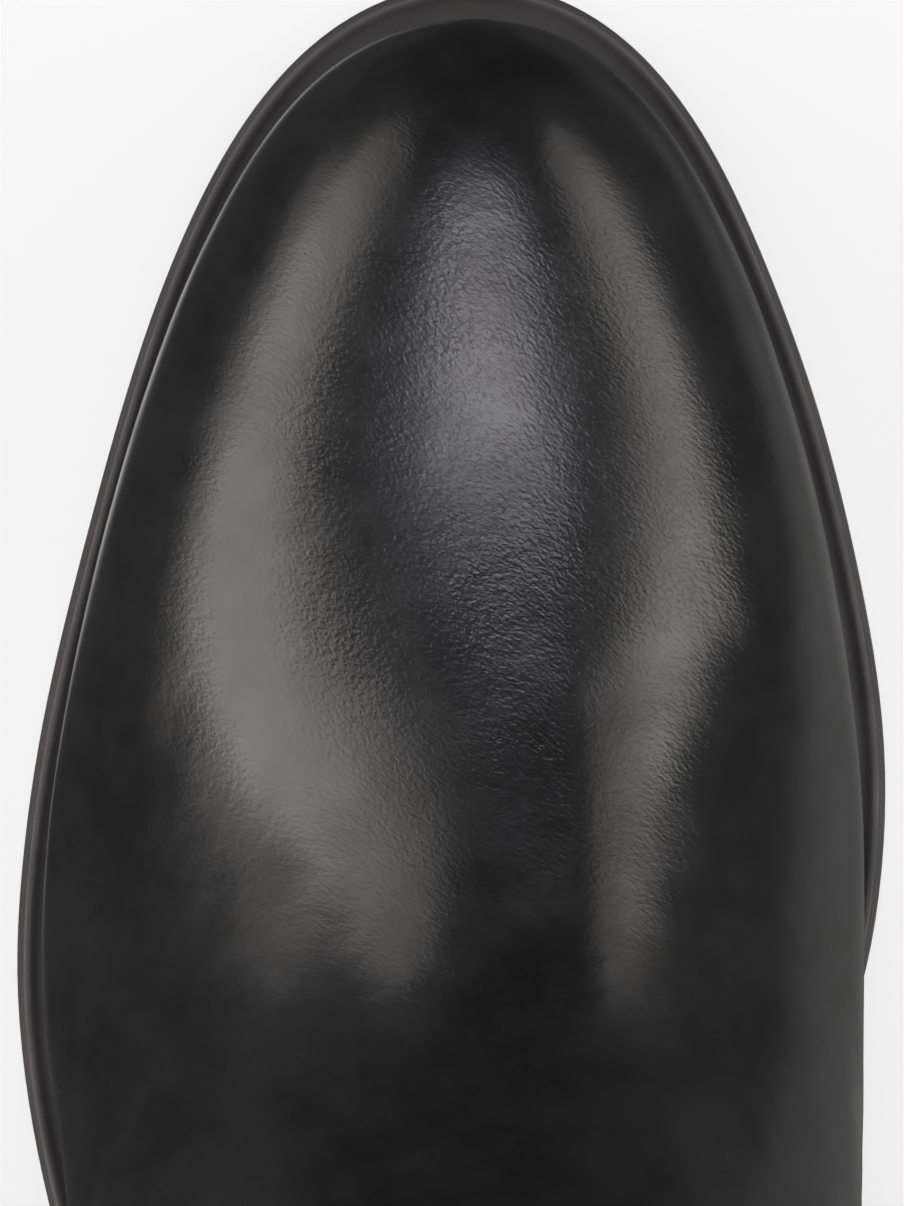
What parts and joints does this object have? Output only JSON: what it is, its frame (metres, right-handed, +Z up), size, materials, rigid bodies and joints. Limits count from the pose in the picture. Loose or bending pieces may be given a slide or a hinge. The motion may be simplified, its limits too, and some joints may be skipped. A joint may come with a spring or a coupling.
{
  "type": "wide calf boot",
  "caption": "Tall pull-on leather boot with a round toe, plain vamp, welted sole, low block heel and a wide open shaft.",
  "frame": {"origin": "on the floor, under the middle of the boot's box", "axes": "+Z up from the floor, +Y towards the toe, +X towards the inner (medial) side of the left foot"},
  "size_m": [0.1304, 0.2962, 0.392],
  "materials": {
    "upper_leather": "smooth polished black leather, semi-gloss",
    "welt": "black, satin",
    "outsole": "black, satin",
    "heel": "black, satin",
    "insole": "matt dark lining leather"
  },
  "bodies": {
    "root": {"upper": "upper_leather", "welt": "welt", "outsole": "outsole", "heel": "heel", "insole": "insole"}
  },
  "joints": []
}
